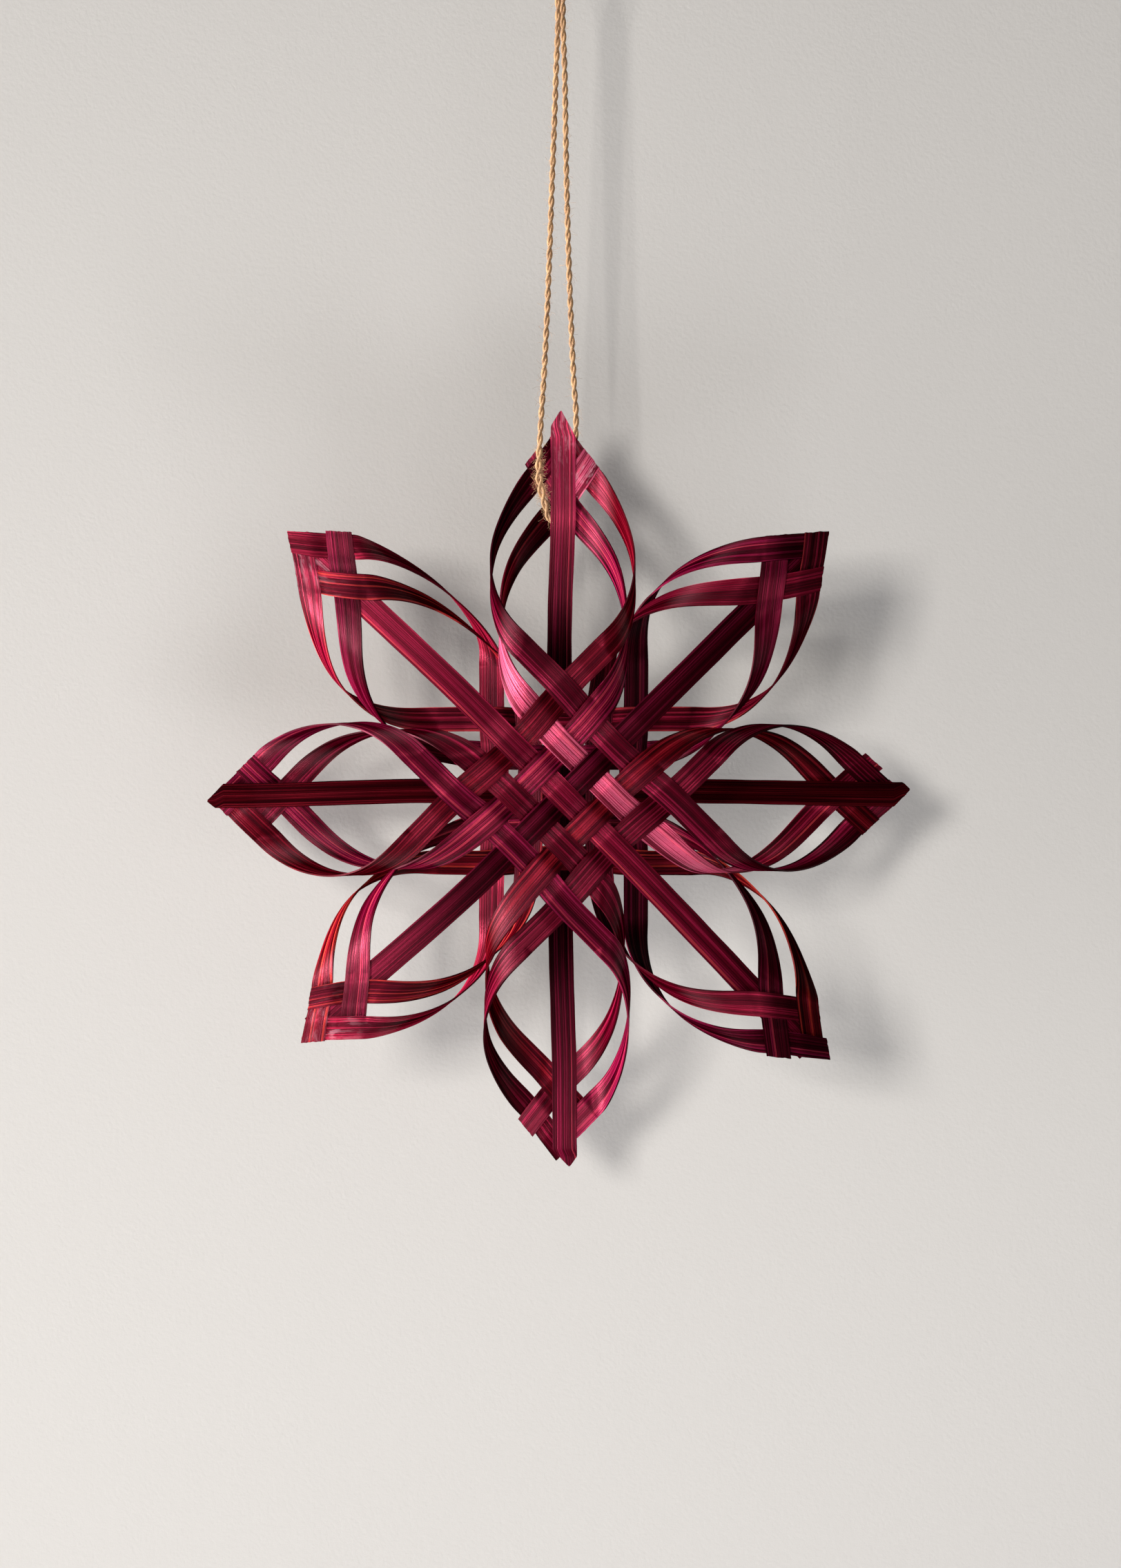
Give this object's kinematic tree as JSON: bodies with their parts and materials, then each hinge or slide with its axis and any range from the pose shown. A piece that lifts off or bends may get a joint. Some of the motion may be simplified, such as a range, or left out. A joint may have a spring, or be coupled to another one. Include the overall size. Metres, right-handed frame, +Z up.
{
  "type": "woven star ornament",
  "caption": "Flat bamboo strips plaited into an eight-pointed star with two woven mats and looped petals, hung on a loop of jute twine.",
  "frame": {"origin": "inside top of the twine loop, where the star hangs from a hook", "axes": "+Z up, -Y towards the viewer, +X to the viewer's right"},
  "size_m": [0.2089, 0.0508, 0.3641],
  "materials": {
    "front_rising_bamboo": "dyed burgundy, satin, with fine fibre lines along the strip",
    "front_falling_bamboo": "dyed burgundy, satin, with fine fibre lines along the strip",
    "back_upright_bamboo": "dyed burgundy, satin, with fine fibre lines along the strip",
    "back_level_bamboo": "dyed burgundy, satin, with fine fibre lines along the strip",
    "jute": "twisted two-ply jute, matt and hairy"
  },
  "bodies": {
    "root": {"front_rising_strip_1": "front_rising_bamboo", "front_rising_strip_2": "front_rising_bamboo", "front_rising_strip_3": "front_rising_bamboo", "front_rising_strip_4": "front_rising_bamboo", "front_rising_strip_5": "front_rising_bamboo", "front_falling_strip_1": "front_falling_bamboo", "front_falling_strip_2": "front_falling_bamboo", "front_falling_strip_3": "front_falling_bamboo", "front_falling_strip_4": "front_falling_bamboo", "front_falling_strip_5": "front_falling_bamboo", "back_upright_strip_1": "back_upright_bamboo", "back_upright_strip_2": "back_upright_bamboo", "back_upright_strip_3": "back_upright_bamboo", "back_upright_strip_4": "back_upright_bamboo", "back_upright_strip_5": "back_upright_bamboo", "back_level_strip_1": "back_level_bamboo", "back_level_strip_2": "back_level_bamboo", "back_level_strip_3": "back_level_bamboo", "back_level_strip_4": "back_level_bamboo", "back_level_strip_5": "back_level_bamboo", "hanging_twine": "jute"}
  },
  "joints": []
}
